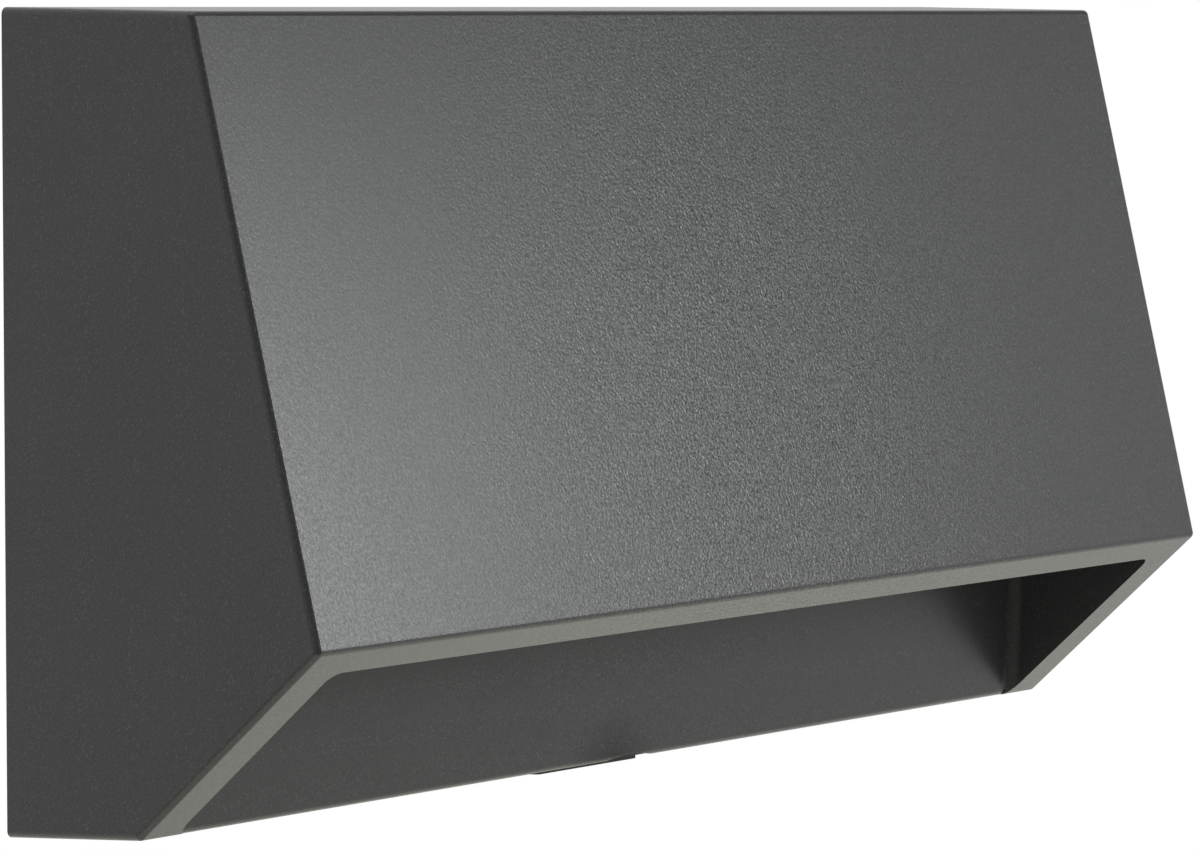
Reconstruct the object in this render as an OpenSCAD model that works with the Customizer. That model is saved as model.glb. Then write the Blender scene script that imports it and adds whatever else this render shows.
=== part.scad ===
// Outdoor wedge wall light that shines down the wall and out at its foot.
// Millimetres. +Z is up, the front faces -Y and the wall is the plane y = 0.
// The origin is midway between the two mounting slots, on the wall.

/* [Housing] */
// Width across the back
body_w = 260; // [250:1:320]
// Height at the wall
body_h = 136.5; // [132:0.5:160]
// Depth of the top face
top_d = 40.5; // [39:0.5:50]
// Depth of the front lip, where the front face ends
lip_d = 66.5; // [62:0.5:76]
// Height of the front lip above the bottom
lip_h = 35; // [28:0.5:38]
// Depth of the bottom face
bottom_d = 28.5; // [27:0.5:32]
// Wall of the casting
wall = 3.5; // [3:0.1:4.5]
// Rounding of the outer edges
edge_r = 1.2; // [0.6:0.1:2]
// Taper of the two sides, in degrees
side_draft = 1.8; // [0.5:0.1:2.5]
// Taper of the top, in degrees
top_draft = 0.8; // [0.5:0.1:2.5]
// Taper of the bottom, in degrees
bottom_draft = 4; // [1:0.1:5]

/* [Light opening] */
// Width of the flat rim at each side
rim_w = 9; // [7:0.5:12]
// Width of the flat rim along the front lip
rim_front = 6.3; // [5:0.1:9]
// Height of the recess ceiling above the bottom
recess_h = 62; // [56:1:68]
// Lean of the recess's back wall, in degrees
recess_lean = 2.4; // [1:0.1:4]
// Front wall of the recess, at its ceiling
recess_skin = 4; // [3.5:0.1:6]
// Wall between the recess and the wiring space
partition_t = 3; // [2.5:0.1:4]
// Rounding of the recess's upright corners
recess_r = 2.5; // [2:0.5:5]
// Rounding of the bottom edge of the recess
foot_r = 1; // [0.5:0.1:1.5]
// Width of the nick in the middle of the bottom edge, where a blade lifts the housing off
nick_w = 13; // [10:1:20]
// Height of the nick
nick_h = 0.7; // [0.4:0.1:1]
// How far the nick runs back under the bottom
nick_d = 2.5; // [1.5:0.5:4]

/* [Wall plate] */
// Thickness of the steel sheet
plate_t = 1.5; // [1.2:0.1:2]
// Gap round the plate inside the housing
plate_gap = 0.4; // [0.3:0.1:0.8]
// Inside radius of the sheet's bends
bend_r = 0.8; // [0.5:0.1:1.5]
// Height of the mounting slots above the bottom
mount_h = 95; // [92:1:98]
// Distance between the mounting slots
slot_spacing = 140; // [130:1:150]
// Length of a mounting slot
slot_l = 12; // [9:0.5:14]
// Width of a mounting slot
slot_w = 5.2; // [4.5:0.1:6.5]
// How far pads and the cable dome are pressed forward
press_h = 3; // [2.5:0.1:3.5]
// Distance between the two hanging tabs
hang_spacing = 120; // [90:1:150]
// Width of a hanging tab
hang_w = 20; // [16:1:26]
// Reach of a hanging tab from the wall
hang_l = 16; // [14:0.5:20]
// Gap between a hanging tab and the top wall that rests on it
hang_gap = 0.1; // [0.05:0.05:0.3]
// Width of the tab under the bottom
lock_w = 28; // [20:1:34]
// Reach of the tab under the bottom, from the wall
lock_l = 18.5; // [18:0.5:22]
// Depth of the locking screw from the wall
lock_d = 12; // [11:0.5:13]
// Gap between the tab and the bottom face
lock_gap = 0.2; // [0.1:0.1:0.4]
// Depth of a stiffening bead pressed into the plate
bead_h = 1; // [0.6:0.1:1.2]
// Width of a stiffening bead
bead_w = 7; // [6:0.5:9]
// Lip of the casting outside the rear gasket
lip_t = 1.4; // [1:0.1:1.8]
// Thickness of the rear gasket, pressed
gasket_t = 2; // [1.5:0.1:3]

/* [Cable inlet] */
// Diameter of the bore for the mains cable
cable_bore = 9; // [7:0.5:10]
// Diameter of the grommet's neck in the plate
neck_d = 14; // [13:0.5:16]
// Diameter of the grommet's flanges
flange_d = 19; // [18:0.5:21]
// Thickness of the grommet's flange on the wall side
flange_t = 1.5; // [1:0.1:2]
// Length of the grommet's collar in front of the plate
collar_l = 7.5; // [6:0.5:10]

/* [Terminals] */
// Centre of the terminal block, from the middle of the light
terminal_x = 42; // [38:1:46]
// Distance between two poles
pole_pitch = 10; // [9:0.5:11]
// Height of the block's body, top to bottom
terminal_h = 19; // [17:0.5:20]
// Depth of the block
terminal_d = 14; // [13:0.5:16]
// Outside diameter of a brass barrel
barrel_d = 5.2; // [4.8:0.1:5.4]
// Bore of a brass barrel
barrel_bore = 3.4; // [3:0.1:3.8]
// Diameter of a wire entry in the block
entry_d = 4.6; // [4.4:0.1:5]

/* [Driver] */
// Length of the driver case
driver_l = 78; // [70:1:82]
// Height of the driver case
driver_h = 30; // [26:1:32]
// Thickness of the driver case with its lid
driver_t = 22; // [18:1:23]
// Lid of the driver
driver_lid_t = 2; // [1.5:0.1:3]
// Length of an ear at each end of the case
ear_l = 9; // [8:0.5:10]
// Thickness of an ear
ear_t = 2; // [1.6:0.1:2.6]
// Space between the driver's ear and the side wall
driver_side = 5; // [3:0.5:7]
// Room between the roof and the driver, for the LED leads
driver_lift = 10; // [8:0.5:13]
// Length of the lead gland at each end of the case
gland_l = 2.5; // [2:0.5:3]
// Diameter of a screw boss
boss_d = 7; // [6.4:0.1:8]

/* [LED module] */
// Depth of the pocket that holds the board
pocket_h = 11; // [10:0.5:13]
// Casting above the pocket
roof_t = 3; // [2.5:0.1:4]
// Height of the ribs on the roof
rib_h = 4; // [4:0.1:6]
// Width of the ribs on the roof
rib_w = 8; // [7:0.5:10]
// Thickness of the thermal pad
pad_t = 0.5; // [0.3:0.1:1]
// Thickness of the LED board
board_t = 1.6; // [1:0.1:2]
// Gap round the board in its pocket
board_gap = 1.5; // [1:0.1:2]
// Side of a square LED
led_size = 3; // [2.8:0.1:3.5]
// Height of an LED
led_t = 0.8; // [0.6:0.1:1.2]
// Distance between two LEDs
led_pitch = 15; // [13:0.5:18]
// Sheet of the reflector
reflector_t = 0.8; // [0.6:0.1:1]
// Width of the reflector's slot
reflector_slot = 8; // [7.4:0.1:9]

/* [Diffuser] */
// Thickness of the diffuser plate
diffuser_t = 3; // [2:0.1:4]
// Thickness of the seal above the diffuser, pressed
seal_t = 1; // [0.8:0.1:1.5]
// How far the diffuser laps past the pocket
diffuser_lap = 2; // [1.5:0.1:2.5]
// Gap between the frame and the recess walls
frame_gap = 0.4; // [0.3:0.1:0.6]
// Wall of the frame beside the diffuser
frame_wall = 1.2; // [1:0.1:1.5]
// Solid end of the frame, which takes its screws
frame_end = 12; // [11:0.5:14]
// Flange of the frame under the diffuser
frame_flange = 2; // [1.6:0.1:2.6]

/* [Screws] */
// Shank of the small screws
m3 = 3; // [2.9:0.1:3.1]
// Shank of the locking and earth screws
m4 = 4; // [3.9:0.1:4.1]
// Play round a screw in its thread
thread_play = 0.05; // [0.03:0.01:0.08]
// Play round a screw in a through hole
hole_play = 0.25; // [0.2:0.05:0.35]

/* [Hidden] */
$fn = 48;

coat = "#4b4d4e";
black_steel = "#1d1e1f";
zinc = "#b9bcbd";
rubber = "#202020";
white_plastic = "#e9e9e4";
brass = "#c9a24a";

// The outer form runs past the wall plane by this much and is cut off there
over = 6;
// Extra length that carries a cut clear through a face
through = 1;
// Number of sides round the rounded edges and corners of the casting
edge_fn = 32;

// The nearest tenth of a millimetre
function tenth(v) = round(10 * v) / 10;
function unit(v) = v / norm(v);
function left(v) = [-v[1], v[0]];
// Corners of a convex outline after all its edges move inwards by r
function inset(p, r) = [
    for (i = [0:len(p) - 1])
        let (a = p[(i + len(p) - 1) % len(p)], b = p[i], c = p[(i + 1) % len(p)])
        let (m = left(unit(b - a)), n = left(unit(c - b)))
        b + r * (m + n) / (1 + m * n)
];
// The y of the line through a and b at height z
function y_at(a, b, z) = a[0] + (z - a[1]) * (b[0] - a[0]) / (b[1] - a[1]);

// Outer faces of the wedge at depth d from the wall
function top_z(d) = body_h - d * tan(top_draft);
function bottom_z(d) = d * tan(bottom_draft);
function side_x(d) = body_w / 2 - d * tan(side_draft);

// Side view of the wedge, counter-clockwise from the bottom at the wall, as [y, z]
top_front = [-top_d, top_z(top_d)];
lip = [-lip_d, lip_h];
bottom_front = [-bottom_d, bottom_z(bottom_d)];
body_outline = [[over, bottom_z(-over)], [over, top_z(-over)], top_front, lip, bottom_front];
inner_outline = inset(body_outline, wall);
side_wall = wall / cos(side_draft);
cap_wall = wall / cos(bottom_draft);

function front_out(z) = y_at(top_front, lip, z);
function front_in(z) = y_at(inner_outline[2], inner_outline[3], z);

// The recess behind the slanted opening
rim_in = lip + rim_front * unit(bottom_front - lip);
recess_top_front = [front_out(recess_h) + recess_skin, recess_h];
function recess_front(z) = y_at(rim_in, recess_top_front, z);
function recess_back(z) = -bottom_d - (z - bottom_front[1]) * tan(recess_lean);
recess_low = -20;
recess_high = recess_h + recess_r + through;
recess_outline = [
    [recess_back(recess_low), recess_low], [recess_back(recess_high), recess_high],
    [recess_front(recess_high), recess_high], [recess_front(recess_low), recess_low]
];
roof_z = recess_h + pocket_h + roof_t;

// The wiring space between the partition, the roof and the wall
foot_z = bottom_z(bottom_d - partition_t) + cap_wall;
cavity_outline = [
    inner_outline[0], inner_outline[1], inner_outline[2],
    [front_in(roof_z), roof_z],
    [recess_back(roof_z) + partition_t, roof_z],
    [recess_back(foot_z) + partition_t, foot_z]
];

// The LED module, from the ceiling of the recess up and down
ceiling_y = tenth((recess_back(recess_h) + recess_front(recess_h)) / 2);
ceiling_w = recess_back(recess_h) - recess_front(recess_h);
frame_w = 2 * tenth(ceiling_w / 2 - frame_gap);
frame_l = 2 * tenth(side_x(-recess_front(recess_h)) - rim_w - frame_gap);
diffuser_play = 0.2;
diffuser_w = frame_w - 2 * (frame_wall + diffuser_play);
diffuser_l = frame_l - 2 * (frame_end + diffuser_play);
pocket_w = diffuser_w - 2 * diffuser_lap;
pocket_l = diffuser_l - 2 * diffuser_lap;
pocket_r = 3;
board_w = pocket_w - 2 * board_gap;
board_l = pocket_l - 2 * board_gap;
pocket_top = recess_h + pocket_h;
board_z = pocket_top - pad_t - board_t;
diffuser_z = recess_h - seal_t - diffuser_t;
frame_z = diffuser_z - frame_flange;
led_end = 18;
led_count = 2 * floor((board_l / 2 - led_end) / led_pitch + 0.5);
board_screw_x = led_pitch * (led_count / 2 - 1);
board_screw_xs = [-board_screw_x, 0, board_screw_x];
board_screw_l = 8;
reflector_gap = 0.3;
lead_hole_x = -board_l / 2 + 8;
lead_hole_d = 5;
lead_neck_d = 8;
lead_flange_d = 11;
lead_flange_t = 1.5;
frame_screw_x = frame_l / 2 - frame_end / 2;
frame_screw_dy = 6;
frame_screw_l = 10;

// Heads of the pan screws: diameter and height for each shank
m3_head = [5.6, 2];
m4_head = [7.6, 2.6];
countersunk_d = 8;
cone_mouth = countersunk_d - 2 * plate_t;
head_play = 0.3;
// Threaded holes, and through holes for the small screws
m3_hole = m3 + 2 * thread_play;
m4_hole = m4 + 2 * thread_play;
m3_through = m3 + 2 * hole_play;
m4_through = m4 + 2 * hole_play;

// The wall plate
plate_half = tenth(side_x(0) - side_wall - plate_gap);
plate_low = tenth(cap_wall + plate_gap);
plate_high = body_h - plate_low;
plate_r = 2;
hang_top = top_z(hang_l) - cap_wall - hang_gap;
hang_root = hang_top - bend_r - plate_t;
hang_hole_d = 4.8;
hang_hole_w = 8.4;
hang_hole_y = 10;
nib_d = hang_hole_d - 2 * plate_gap;
nib_w = hang_hole_w - 2 * plate_gap;
nib_h = 5;
nib_z = top_z(hang_hole_y) - cap_wall - nib_h;
relief = 1;
dome_d = flange_d + 8;
pad_w = 3 * pole_pitch + 6;
pad_h = terminal_h + 5;
bead_l = 2 * plate_half - 72;
bead_zs = [28, 56];
stud_x = plate_half - 26;
stud_z = 76;
stud_l = 10;
seat = plate_t + press_h;

// The locking screw and its boss on the bottom wall
lock_boss_d = 12;
lock_boss_h = 12;
lock_screw_l = 10;
lock_sink = 0.1;

// The earth boss on the partition
earth_x = stud_x;
earth_z = 48;
earth_boss_d = 9;
earth_boss_y = -17;
earth_hole_l = 7;
ring_t = 0.8;
washer_t = 0.8;
nut_h = 3.2;
nut_w = 7;

// The terminal block, seated on its pad
barrel_y = -seat - terminal_d / 2;
poles = [-1, 0, 1];
fixing_xs = [-0.5, 0.5];
screw_row = terminal_h / 4;
fixing_seat = -barrel_y + barrel_d / 2 + 0.5;
fixing_collar = 7;
fixing_screw_l = 12;
barrel_l = terminal_h - 3.2;

// The driver, seated on two bosses that stand on the front wall
driver_z = roof_z + driver_lift + driver_h / 2;
driver_gap = 1;
driver_y = tenth(front_in(driver_z + driver_h / 2) + driver_gap);
driver_x = -tenth(side_x(-driver_y) - side_wall) + driver_side + ear_l + driver_l / 2;
driver_screw_x = driver_l / 2 + ear_l / 2;
driver_screw_l = 8;
driver_hole_end = -driver_y + driver_screw_l - ear_t + 0.4;
driver_case_t = driver_t - driver_lid_t;
ear_h = 14;
gland_root_d = 9;
gland_tip_d = 7;
gland_y = driver_y + gland_root_d;

// Leads and the ring terminals that they end in
lead_d = 2;
lead_sides = 8;
lead_pair = 1.1;
ring_reach = 12;
crimp_d = 3.6;
crimp_l = 5;
crimp_depth = 4;

// Ends of the leads at the driver, the terminals, the ring terminals and the board
out_x = driver_x + driver_l / 2 + gland_l;
in_x = driver_x - driver_l / 2 - gland_l;
pole_z = mount_h - barrel_l / 2;
stud_ring = [stud_x - ring_reach + crimp_depth, -plate_t - crimp_d / 2, stud_z];
boss_ring = [earth_x - ring_reach + crimp_depth, earth_boss_y + crimp_d / 2, earth_z];
joint_z = board_z - lead_d / 2 - 0.05;

// The two straight ends of a lead: at the driver, in a pole, in a crimp barrel that ends at p
function from_driver(x, side, dz) = [for (l = [0, 4]) [x + side * l, gland_y, driver_z + dz]];
function into_pole(x) = [for (l = [4, 0]) [x, barrel_y, pole_z - l]];
function out_of_pole(x) = [for (l = [0, 4]) [x, barrel_y, pole_z - l]];
function into_crimp(p) = [for (l = [crimp_l, 0]) p - [l, 0, 0]];
// Down through the grommet and the board and along the board's lower face, at dy from the middle
function into_board(dy) = [
    for (p = [[0, roof_z + 0.5], [0, roof_z - 4], [2, joint_z], [5, joint_z]])
        [lead_hole_x + p[0], ceiling_y + dy, p[1]]
];

// A mains core from the driver to the pole at x: its second point is first away from the gland,
// its last is end away from the pole, and it sags between the two
function core_route(x, dz, first, end, sag) =
    let (a = [out_x, gland_y, driver_z] + first, b = [x, barrel_y, pole_z] + end)
    [each from_driver(out_x, 1, dz), a, (a + b) / 2 + sag, b, each into_pole(x)];
// An earth lead from the pole at x to a ring terminal
function earth_route(x, ring, first, sag) =
    let (a = [x, barrel_y, pole_z] + first, b = ring - [crimp_l, 0, 0])
    [each out_of_pole(x), a, (a + b) / 2 + sag, each into_crimp(ring)];
// A lead from the driver down to the LED board, by two points at the gland and two over the roof
function led_route(dz, dy, turn, drop, slope, over_hole) = [
    each from_driver(in_x, -1, dz),
    [in_x, gland_y, driver_z] + turn, [in_x, gland_y, roof_z] + drop,
    [lead_hole_x, ceiling_y, roof_z] + slope, [lead_hole_x, ceiling_y, roof_z] + over_hole,
    each into_board(dy)
];

live_route = core_route(terminal_x - pole_pitch, 1.3, [18, 2.6, -9], [-3, -2.5, -9.1], [4, -0.5, -3]);
neutral_route = core_route(terminal_x, -1.3, [17, 5.6, -14], [-4, -1.5, -11.1], [4, 1.5, -5.5]);
plate_earth_route =
    earth_route(terminal_x + pole_pitch + lead_pair, stud_ring, [4.9, 2.5, -10.1], [-0.5, 1.1, -1.5]);
housing_earth_route =
    earth_route(terminal_x + pole_pitch - lead_pair, boss_ring, [3.1, -2.5, -19.1], [-3.5, -0.4, -6]);
positive_route = led_route(1.3, lead_pair, [-7.1, -0.4, -4], [-6.1, -3.4, 11], [-15.5, 2.4, 5], [-3.5, 1.4, 5]);
negative_route =
    led_route(-1.3, -lead_pair, [-4.1, -1.4, -6], [-2.1, -6.4, 11], [-12.5, -0.6, 7], [-2.5, -1.6, 6]);

// A curve through the points b and c of a route, with its neighbours a and d, for t from 0 to 1
function curve(a, b, c, d, t) =
    b + t * (c - a) / 2 + t * t * (a - 2.5 * b + 2 * c - 0.5 * d) + t * t * t * (1.5 * (b - c) + (d - a) / 2);
// Points along a route whose first and last stretches stay straight
function smooth_route(p, steps) = [
    p[0],
    for (i = [1:len(p) - 3], s = [0:steps - 1]) curve(p[i - 1], p[i], p[i + 1], p[i + 2], s / steps),
    p[len(p) - 2],
    p[len(p) - 1]
];
function tangents(p) = [for (i = [0:len(p) - 1]) unit(p[min(i + 1, len(p) - 1)] - p[max(i - 1, 0)])];
function normals(t, n, i = 0) =
    i == len(t) ? [] : let (m = unit(n - (n * t[i]) * t[i])) concat([m], normals(t, m, i + 1));

// Everything is drawn from the bottom back edge and then moved to the mounting slots
module from_mount() {
    translate([0, 0, -mount_h]) children();
}

// Extrudes a [y, z] drawing across the light
module across(w) {
    rotate([90, 0, 90]) linear_extrude(w, center = true) children();
}

// Extrudes an [x, z] drawing forward from depth d1 to depth d2
module forward(d1, d2) {
    translate([0, -d1, 0]) rotate([90, 0, 0]) linear_extrude(d2 - d1) children();
}

// A cylinder that points forward from depth d1 to depth d2
module forward_pin(x, z, d, d1, d2) {
    translate([x, -d1, z]) rotate([90, 0, 0]) cylinder(d = d, h = d2 - d1);
}

module rounded(w, h, r) {
    square([w - 2 * r, h], center = true);
    square([w, h - 2 * r], center = true);
    for (x = [-1, 1], y = [-1, 1]) translate([x * (w / 2 - r), y * (h / 2 - r)]) circle(r);
}

module stadium(l, w) {
    square([l - w, w], center = true);
    for (x = [-1, 1]) translate([x * (l - w) / 2, 0]) circle(d = w);
}

// Solid between two tapered sides, rounded by r, with the outline p in [y, z]
module tapered_form(p, margin, r) {
    hull() for (q = inset(p, r), s = [-1, 1])
        translate([s * (side_x(-q[0]) - margin - r / cos(side_draft)), q[0], q[1]]) sphere(r, $fn = edge_fn);
}

// Keeps what lies between the tapered side walls, less a margin
module between_sides(margin) {
    far = -lip_d - over;
    intersection() {
        children();
        translate([0, 0, recess_low]) linear_extrude(body_h - 2 * recess_low) polygon([
            [side_x(-over) - margin, over], [-side_x(-over) + margin, over],
            [-side_x(-far) + margin, far], [side_x(-far) - margin, far]
        ]);
    }
}

module pan_screw(d, head, l) {
    cylinder(d = d, h = l);
    translate([0, 0, -head[1]]) difference() {
        union() {
            translate([0, 0, head[1] * 0.4]) cylinder(d = head[0], h = head[1] * 0.6);
            cylinder(d1 = head[0] * 0.72, d2 = head[0], h = head[1] * 0.4);
        }
        for (a = [0, 90]) rotate(a) cube([head[0] * 0.5, head[0] * 0.14, head[1]], center = true);
    }
}

// A screw at x, z that points forward, with the seat of its head at depth d
module forward_screw(x, z, d, shank, head, l) {
    translate([x, -d, z]) rotate([90, 0, 0]) pan_screw(shank, head, l);
}

// The frame of the bottom face at depth d, with its z axis into the housing
module on_bottom(d) {
    translate([0, -d, bottom_z(d)]) rotate([-bottom_draft, 0, 0]) children();
}

// Profile of a bent sheet, [y, z]: up the wall to z1, then forward to y2, rounded outside
module bent_sheet(z1, z2, y2) {
    s = sign(z1 - z2);
    r = bend_r + plate_t;
    translate([-plate_t, min(z2, z1 - s * r)]) square([plate_t, abs(z1 - s * r - z2)]);
    translate([y2, s > 0 ? z1 - plate_t : z1]) square([-r - y2, plate_t]);
    translate([-r, z1 - s * r]) intersection() {
        difference() {
            circle(r);
            circle(bend_r);
        }
        translate([0, s > 0 ? 0 : -r]) square(r);
    }
}

module recess() {
    intersection() {
        tapered_form(recess_outline, rim_w, recess_r);
        translate([-body_w / 2, -lip_d - over, recess_low])
            cube([body_w, lip_d + over, recess_h - recess_low]);
    }
}

// What is cut off the bottom edge of the recess to round it
module foot_rounding() {
    across(body_w - 2 * rim_w - 2 * recess_r) difference() {
        translate([-bottom_d - through, bottom_front[1] - through]) square(foot_r + through);
        translate([-bottom_d + foot_r, bottom_front[1] + foot_r]) circle(foot_r);
    }
}

// The nick in the bottom edge: a flat arc, cut back under the bottom
module nick() {
    r = (nick_w * nick_w / 4 + nick_h * nick_h) / (2 * nick_h);
    translate([0, -bottom_d + nick_d, bottom_front[1] + nick_h - r])
        rotate([90, 0, 0]) cylinder(r = r, h = nick_d + through, $fn = 192);
}

module casting_shell() {
    difference() {
        tapered_form(body_outline, 0, edge_r);
        translate([-body_w, 0, -body_h]) cube([2 * body_w, 2 * over, 3 * body_h]);
        recess();
        foot_rounding();
        nick();
        between_sides(side_wall) across(body_w) polygon(cavity_outline);
    }
}

module casting_bosses() {
    // Ribs across the roof, over the screws of the LED board
    for (x = board_screw_xs) translate([x - rib_w / 2, front_in(roof_z) - through, roof_z - through])
        cube([rib_w, recess_back(roof_z) + partition_t / 2 - front_in(roof_z) + through, rib_h + through]);
    // Nibs that drop through the hanging tabs
    for (s = [-1, 1])
        translate([s * hang_spacing / 2 - nib_w / 2, -hang_hole_y - nib_d / 2, nib_z])
            cube([nib_w, nib_d, nib_h + through]);
    // Bosses for the driver
    for (s = [-1, 1])
        forward_pin(driver_x + s * driver_screw_x, driver_z, boss_d, -driver_y, -front_in(driver_z) + 1.5);
    // Boss for the locking screw, tied to the partition
    on_bottom(lock_d) translate([0, 0, wall / 2]) cylinder(d = lock_boss_d, h = lock_boss_h - wall / 2);
    translate([-lock_boss_d / 2, -bottom_d + partition_t / 2, foot_z - through])
        cube([lock_boss_d, bottom_d - partition_t / 2 - lock_d, lock_boss_h - foot_z]);
    // Boss for the earth screw
    forward_pin(earth_x, earth_z, earth_boss_d, -earth_boss_y, -recess_back(earth_z) - partition_t / 2);
}

module housing() {
    color(coat) from_mount() difference() {
        union() {
            casting_shell();
            casting_bosses();
        }
        // Rebate for the rear gasket
        translate([-body_w / 2 + lip_t, -gasket_t, lip_t])
            cube([body_w - 2 * lip_t, gasket_t + through, body_h - 2 * lip_t]);
        // Notch for the plate's bottom tab
        translate([-lock_w / 2 - plate_gap, -plate_t - bend_r - plate_gap, -through])
            cube([lock_w + 2 * plate_gap, plate_t + bend_r + plate_gap + through, wall + 2 * through]);
        // Pocket for the LED board
        translate([0, ceiling_y, recess_h - through])
            linear_extrude(pocket_h + through) rounded(pocket_l, pocket_w, pocket_r);
        translate([lead_hole_x, ceiling_y, pocket_top - through])
            cylinder(d = lead_neck_d, h = roof_t + 2 * through);
        // Threaded holes
        for (x = board_screw_xs) translate([x, ceiling_y, pocket_top - through])
            cylinder(d = m3_hole, h = board_screw_l - board_t - pad_t + 0.4 + through);
        for (s = [-1, 1], t = [-1, 1])
            translate([s * frame_screw_x, ceiling_y + t * frame_screw_dy, recess_h - through])
                cylinder(d = m3_hole, h = frame_screw_l + through);
        for (s = [-1, 1])
            forward_pin(driver_x + s * driver_screw_x, driver_z, m3_hole, -driver_y - through, driver_hole_end);
        forward_pin(earth_x, earth_z, m4_hole, -earth_boss_y - through, -earth_boss_y + earth_hole_l);
        on_bottom(lock_d) {
            translate([0, 0, -through]) cylinder(d = m4_hole, h = lock_screw_l + through);
            translate([0, 0, -0.01]) cylinder(d1 = cone_mouth, d2 = m4, h = (cone_mouth - m4) / 2 + 0.01);
        }
    }
}

module wall_plate() {
    color(black_steel) from_mount() difference() {
        union() {
            plate_sheet();
            plate_pressings();
            for (s = [-1, 1]) translate([s * hang_spacing / 2, 0, 0])
                across(hang_w) bent_sheet(hang_top, mount_h, -hang_l);
            lock_tab();
            forward_pin(stud_x, stud_z, m4, plate_t / 2, plate_t + stud_l);
        }
        plate_holes();
    }
}

module plate_sheet() {
    difference() {
        forward(0, plate_t) translate([0, (plate_low + plate_high) / 2])
            rounded(2 * plate_half, plate_high - plate_low, plate_r);
        for (s = [-1, 1])
            translate([s * hang_spacing / 2 - hang_w / 2 - relief, -plate_t - through, hang_root])
                cube([hang_w + 2 * relief, plate_t + 2 * through, plate_high]);
    }
}

module plate_pressings() {
    forward(plate_t / 2, plate_t + press_h) translate([0, mount_h]) circle(d = dome_d);
    forward(plate_t / 2, plate_t + press_h) translate([terminal_x, mount_h]) rounded(pad_w, pad_h, 3);
    for (z = bead_zs) forward(plate_t / 2, plate_t + bead_h) translate([0, z]) stadium(bead_l, bead_w);
}

// The tab that leaves the housing through its notch and turns forward under the bottom
module lock_tab() {
    half = plate_t / 2;
    corner_z = bottom_z(half) - (lock_gap + half) / cos(bottom_draft);
    across(lock_w) translate([-half, corner_z]) {
        circle(half);
        translate([-half, 0]) square([plate_t, plate_low - corner_z + through]);
        rotate(-bottom_draft) translate([half - lock_l, -half]) square([lock_l - half, plate_t]);
    }
}

module plate_holes() {
    inside = 2 * plate_t;
    forward(-through, press_h) translate([0, mount_h]) circle(d = dome_d - inside);
    forward(-through, press_h) translate([terminal_x, mount_h]) rounded(pad_w - inside, pad_h - inside, 2);
    for (z = bead_zs) forward(-through, bead_h) translate([0, z]) stadium(bead_l - inside, bead_w - inside);
    forward(0, seat + through) translate([0, mount_h]) circle(d = neck_d);
    for (s = [-1, 1])
        forward(-through, plate_t + through) translate([s * slot_spacing / 2, mount_h]) stadium(slot_l, slot_w);
    for (x = fixing_xs) forward_pin(terminal_x + x * pole_pitch, mount_h, m3_hole, 0, seat + through);
    for (s = [-1, 1])
        translate([s * hang_spacing / 2, -hang_hole_y, hang_top - plate_t / 2])
            cube([hang_hole_w, hang_hole_d, plate_t + 2 * through], center = true);
    on_bottom(lock_d) translate([0, 0, -lock_gap - plate_t - 0.01])
        cylinder(d1 = countersunk_d + 0.3, d2 = countersunk_d + 0.3 - 2 * plate_t, h = plate_t + 0.02);
}

module rear_gasket() {
    color(rubber) from_mount() difference() {
        translate([-body_w / 2 + lip_t, -gasket_t, lip_t])
            cube([body_w - 2 * lip_t, gasket_t, body_h - 2 * lip_t]);
        translate([-side_x(0) + side_wall, -gasket_t - through, cap_wall])
            cube([2 * side_x(0) - 2 * side_wall, gasket_t + 2 * through, body_h - 2 * cap_wall]);
        translate([-lock_w / 2 - plate_gap, -gasket_t - through, 0])
            cube([lock_w + 2 * plate_gap, gasket_t + 2 * through, wall + through]);
    }
}

// Flat-headed screw, sunk just below the face of the tab
module locking_screw() {
    head_z = -lock_gap - plate_t + lock_sink;
    color(zinc) from_mount() on_bottom(lock_d) translate([0, 0, head_z]) difference() {
        union() {
            cylinder(d1 = countersunk_d, d2 = m4, h = (countersunk_d - m4) / 2);
            cylinder(d = m4, h = lock_screw_l + lock_gap + plate_t - 0.6);
        }
        translate([0, 0, -through]) cylinder(d = 2.5 / cos(30), h = 2 + through, $fn = 6);
    }
}

module cable_grommet() {
    front = seat + 2;
    color(rubber) from_mount() translate([0, 0, mount_h]) rotate([90, 0, 0]) difference() {
        union() {
            translate([0, 0, press_h - flange_t]) cylinder(d = flange_d, h = flange_t);
            translate([0, 0, press_h]) cylinder(d = neck_d, h = plate_t);
            translate([0, 0, seat]) cylinder(d = flange_d, h = front - seat);
            translate([0, 0, front]) cylinder(d1 = neck_d, d2 = cable_bore + 2.4, h = collar_l - 2);
        }
        cylinder(d = cable_bore, h = seat + collar_l + through);
    }
}

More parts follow.
